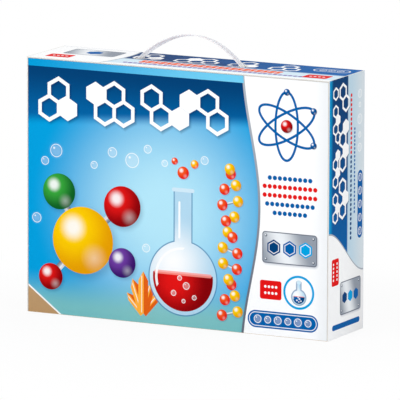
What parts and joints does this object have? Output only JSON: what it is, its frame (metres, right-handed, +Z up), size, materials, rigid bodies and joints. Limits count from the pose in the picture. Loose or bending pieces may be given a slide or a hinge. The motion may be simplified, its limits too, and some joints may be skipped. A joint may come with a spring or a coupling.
{
  "type": "chemistry set case",
  "caption": "Suitcase-style carton with a strap handle and a hinged tuck-in front lid, holding laboratory ware in an insert of shelves and dividers.",
  "frame": {"origin": "centre of the base, on the surface the case stands on", "axes": "+Z up, +X along the width to the right of someone facing the lid, +Y to the back"},
  "size_m": [0.425, 0.1, 0.3626],
  "materials": {
    "front_print": "varnished colour print on white-lined fluted board",
    "side_print": "varnished colour print on white-lined fluted board",
    "top_print": "varnished colour print on white-lined fluted board",
    "back_print": "varnished colour print on white-lined fluted board",
    "base_board": "white-lined fluted board",
    "plain_board": "unprinted fluted board",
    "strap_plastic": "translucent white polyethylene",
    "insert_board": "white-lined grey board",
    "booklet_paper": "coated paper",
    "yellow_plastic": "moulded",
    "clear_plastic": "clear, polished",
    "red_plastic": "moulded",
    "green_plastic": "moulded",
    "violet_plastic": "moulded",
    "white_plastic": "moulded",
    "bulb_rubber": "soft, matt",
    "blue_plastic": "moulded"
  },
  "bodies": {
    "carton": {"back_panel": "back_print", "left_wall": "side_print", "right_wall": "side_print", "top_wall": "top_print", "bottom_wall": "base_board", "handle_patch": "plain_board", "top_left_glue_tab": "plain_board", "top_right_glue_tab": "plain_board", "bottom_left_glue_tab": "plain_board", "bottom_right_glue_tab": "plain_board", "insert_back": "insert_board", "insert_left_side": "insert_board", "insert_right_side": "insert_board", "insert_base": "insert_board", "insert_middle_shelf": "insert_board", "insert_upper_shelf": "insert_board", "insert_ceiling": "insert_board", "lower_divider_1": "insert_board", "lower_divider_2": "insert_board", "lower_divider_3": "insert_board", "lower_divider_4": "insert_board", "lower_divider_5": "insert_board", "middle_divider_1": "insert_board", "middle_divider_2": "insert_board", "middle_divider_3": "insert_board", "upper_divider_1": "insert_board", "instruction_booklet": "booklet_paper", "test_tube_rack": "yellow_plastic", "conical_flask": "clear_plastic", "beaker": "clear_plastic", "measuring_cylinder": "clear_plastic", "funnel": "red_plastic", "jar_a": "white_plastic", "jar_a_cap": "red_plastic", "jar_b": "white_plastic", "jar_b_cap": "green_plastic", "jar_c": "white_plastic", "jar_c_cap": "violet_plastic", "test_tube_1": "clear_plastic", "stopper_1": "red_plastic", "test_tube_2": "clear_plastic", "stopper_2": "green_plastic", "test_tube_3": "clear_plastic", "stopper_3": "violet_plastic", "dish_base": "clear_plastic", "dish_lid": "clear_plastic", "pipette_tube": "clear_plastic", "pipette_bulb": "bulb_rubber", "measuring_spoon": "red_plastic", "glasses_lens": "clear_plastic", "glasses_left_temple": "blue_plastic", "glasses_right_temple": "blue_plastic"},
    "lid": {"lid_panel": "front_print", "lid_left_ear": "plain_board", "lid_right_ear": "plain_board"},
    "tongue": {"lid_tongue": "plain_board"},
    "strap": {"handle_strap": "strap_plastic"},
    "anchors": {"left_handle_anchor": "strap_plastic", "right_handle_anchor": "strap_plastic"}
  },
  "joints": [
    {"name": "lid_hinge", "type": "hinge", "parent": "carton", "child": "lid", "pos_m": [0, -0.05, 0], "axis": [1, 0, 0], "range_deg": [0, 90]},
    {"name": "tongue_crease", "type": "hinge", "parent": "lid", "child": "tongue", "pos_m": [0, -0.0485, 0.3251], "axis": [1, 0, 0], "range_deg": [0, 45]},
    {"name": "handle_press", "type": "slide", "parent": "carton", "child": "strap", "axis": [0, 0, 1], "range_m": [-0.031, 0], "deforming": ["handle_strap"]},
    {"name": "anchor_sink", "type": "slide", "parent": "carton", "child": "anchors", "axis": [0, 0, 1], "range_m": [-0.0096, 0]}
  ],
  "couplings": [
    {"joint": "tongue_crease", "follows": "lid_hinge", "ratio": 0.5},
    {"joint": "anchor_sink", "follows": "handle_press", "ratio": 0.3097}
  ]
}
